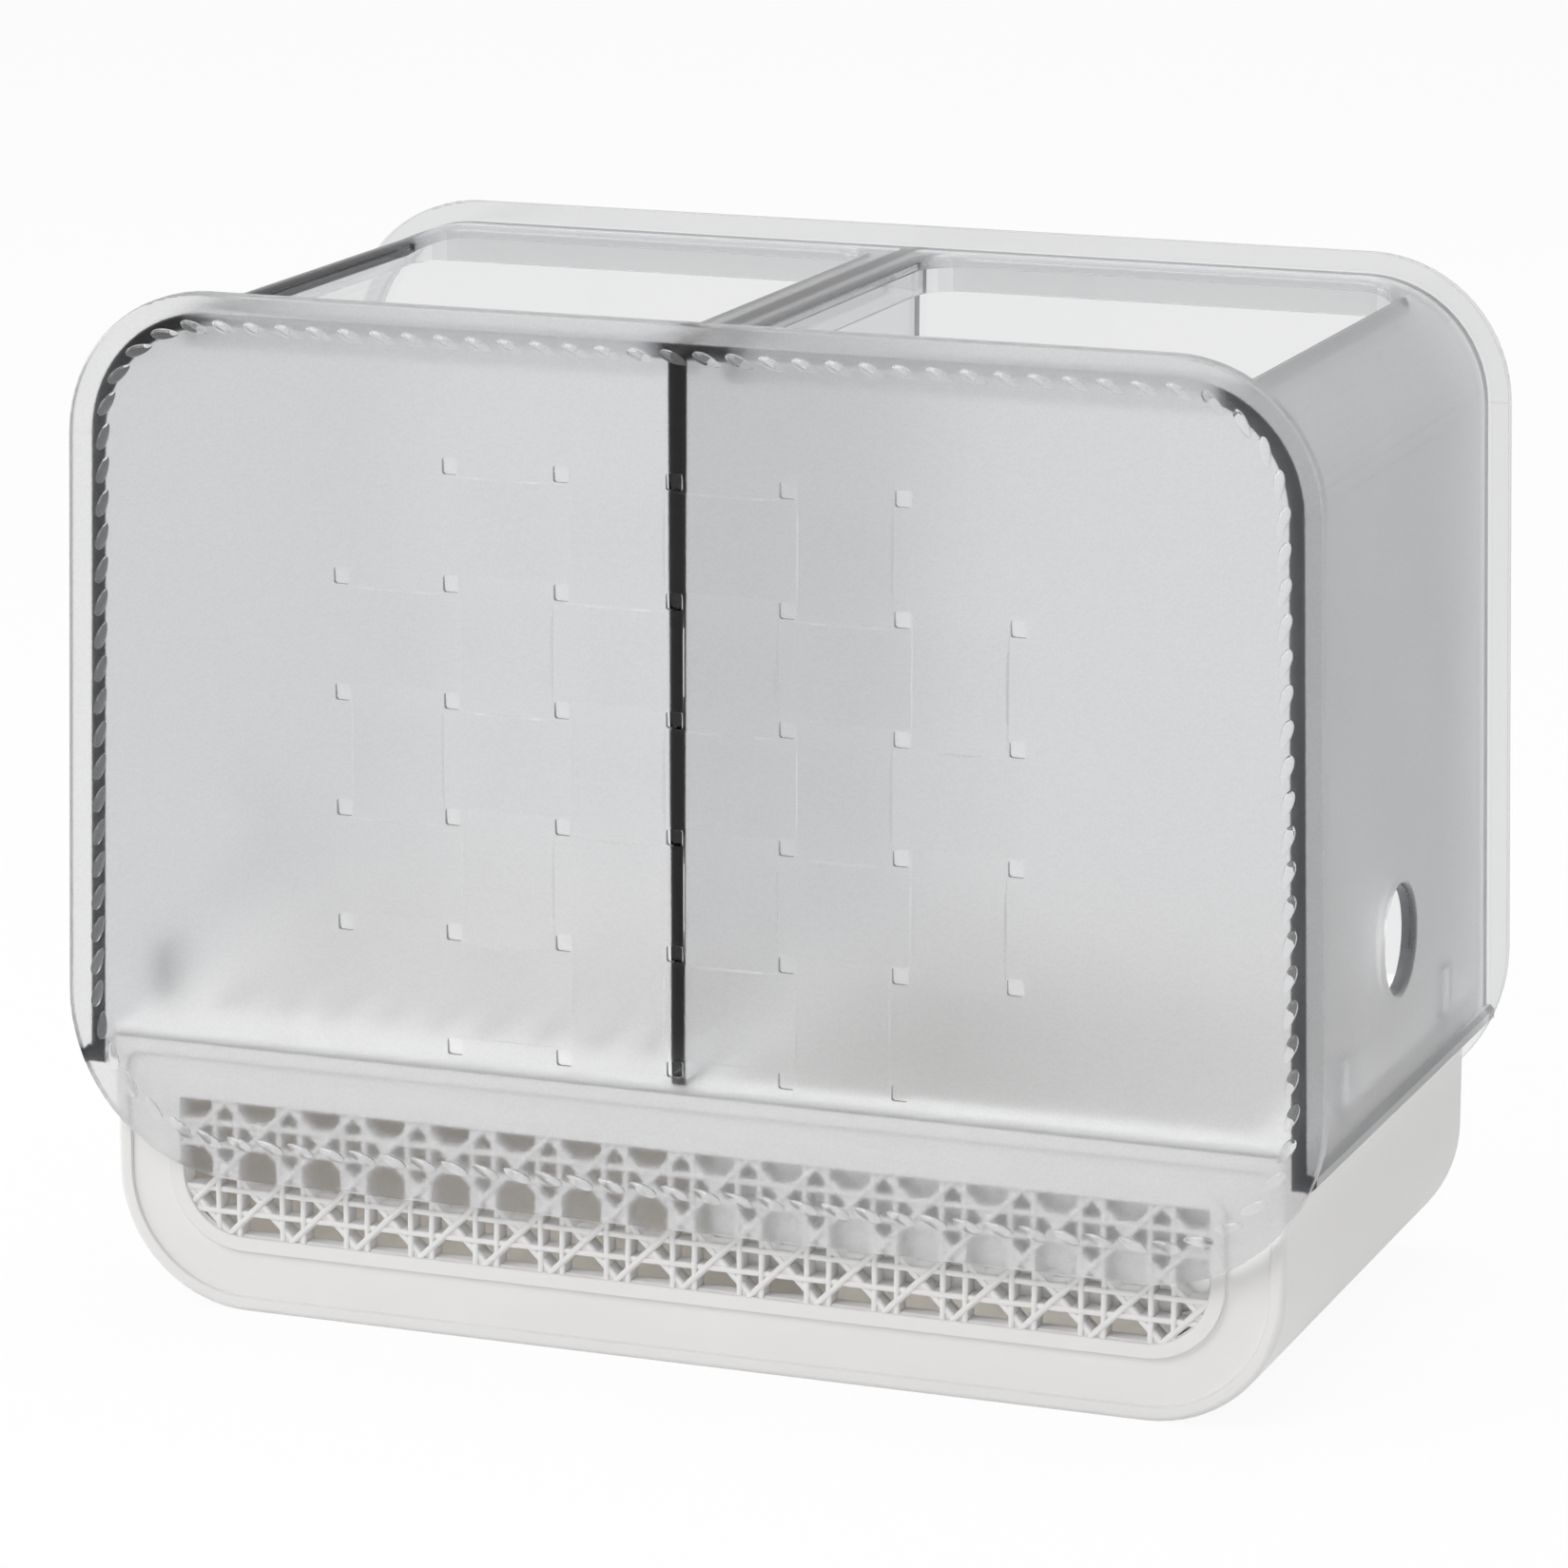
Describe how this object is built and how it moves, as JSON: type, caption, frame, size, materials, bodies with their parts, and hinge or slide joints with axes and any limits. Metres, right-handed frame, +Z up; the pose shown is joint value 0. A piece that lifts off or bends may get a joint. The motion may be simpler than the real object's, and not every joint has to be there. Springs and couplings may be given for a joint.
{
  "type": "chopstick holder",
  "caption": "Frosted plastic chopstick and cutlery holder with open compartments over a white drip base, a slotted drain insert and a cane-web grille",
  "frame": {"origin": "middle of the overall box, on the table, at the bottom face of the base", "axes": "+X along the width to the right as seen from the front, +Y from front to back, +Z up"},
  "size_m": [0.1818, 0.0952, 0.1444],
  "materials": {
    "frosted_plastic": "frosted, smoky translucent moulding",
    "white_plastic": "satin white moulding",
    "insert_plastic": "satin white moulding",
    "grille_plastic": "satin white moulding"
  },
  "bodies": {
    "base": {"base_tray": "white_plastic", "cane_grille": "grille_plastic"},
    "insert": {"drain_insert": "insert_plastic"},
    "bin": {"bin_sleeve": "frosted_plastic"}
  },
  "joints": [
    {"name": "insert_lift", "type": "slide", "parent": "base", "child": "insert", "axis": [0, 0, 1], "range_m": [0, 0.03]},
    {"name": "bin_lift", "type": "slide", "parent": "insert", "child": "bin", "axis": [0, 0, 1], "range_m": [0, 0.045]}
  ]
}
